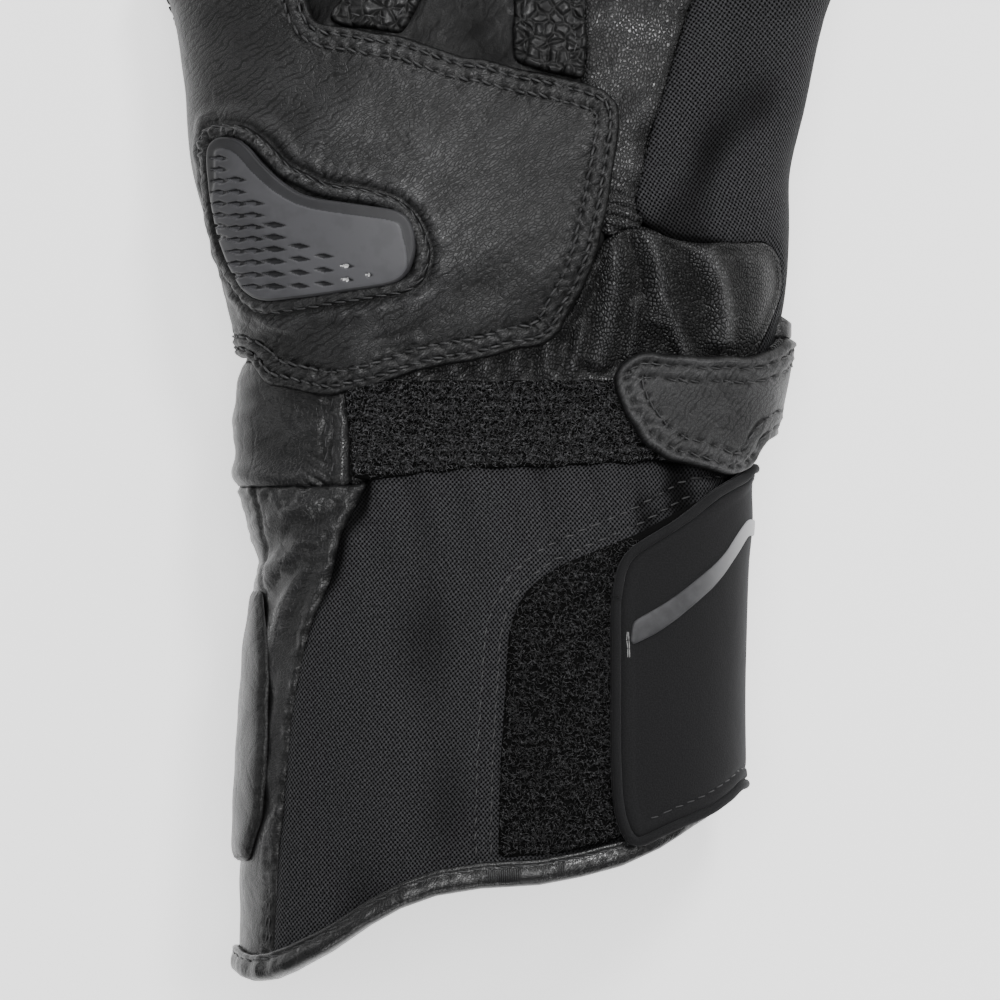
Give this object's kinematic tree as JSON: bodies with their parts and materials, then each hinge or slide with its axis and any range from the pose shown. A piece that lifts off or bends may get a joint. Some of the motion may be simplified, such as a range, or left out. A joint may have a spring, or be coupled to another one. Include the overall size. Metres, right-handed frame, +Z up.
{
  "type": "winter motorcycle glove",
  "caption": "Right-hand long-cuff winter riding glove of leather, cloth and softshell, with a hard palm slider, wrist strap and closing cuff flap, lying palm up.",
  "frame": {"origin": "under the middle of the whole glove, on the surface that it lies on", "axes": "+Y from the cuff towards the fingertips, +Z up out of the palm, +X to the thumb's side"},
  "size_m": [0.1551, 0.3112, 0.0586],
  "materials": {
    "palm_leather": "smooth black goatskin, soft sheen",
    "soft_leather": "thin pebble-grained black leather, semi-gloss",
    "coarse_leather": "coarse pebbled black leather, matte",
    "patch_leather": "fine diagonal-grained black leather, soft sheen",
    "binding_leather": "glossy black binding leather",
    "stretch_cloth": "woven black stretch cloth, matte",
    "woven_cloth": "fine woven black cloth, matte",
    "softshell": "smooth charcoal softshell, matte",
    "loop_pile": "black loop pile of hook-and-loop tape",
    "hard_plate": "moulded dark grey plate, satin",
    "reflective_film": "grey reflective film, satin"
  },
  "bodies": {
    "root": {"palm": "palm_leather", "thenar_panel": "soft_leather", "hand_back": "stretch_cloth", "thumb": "palm_leather", "index_finger": "palm_leather", "middle_finger": "palm_leather", "ring_finger": "palm_leather", "little_finger": "palm_leather", "grip_patch": "coarse_leather", "heel_patch": "patch_leather", "slider_frame": "patch_leather", "palm_slider": "hard_plate", "wrist_gather": "soft_leather", "wrist_side": "patch_leather", "wrist_loop_tape": "loop_pile", "wrist_strap": "patch_leather", "strap_keeper": "soft_leather", "cuff_front": "woven_cloth", "cuff_side": "soft_leather", "cuff_back": "softshell", "cuff_side_patch": "patch_leather", "cuff_loop_tape": "loop_pile", "cuff_flap": "softshell", "flap_piping": "softshell", "reflective_stripe": "reflective_film", "hem_binding": "binding_leather"}
  },
  "joints": []
}
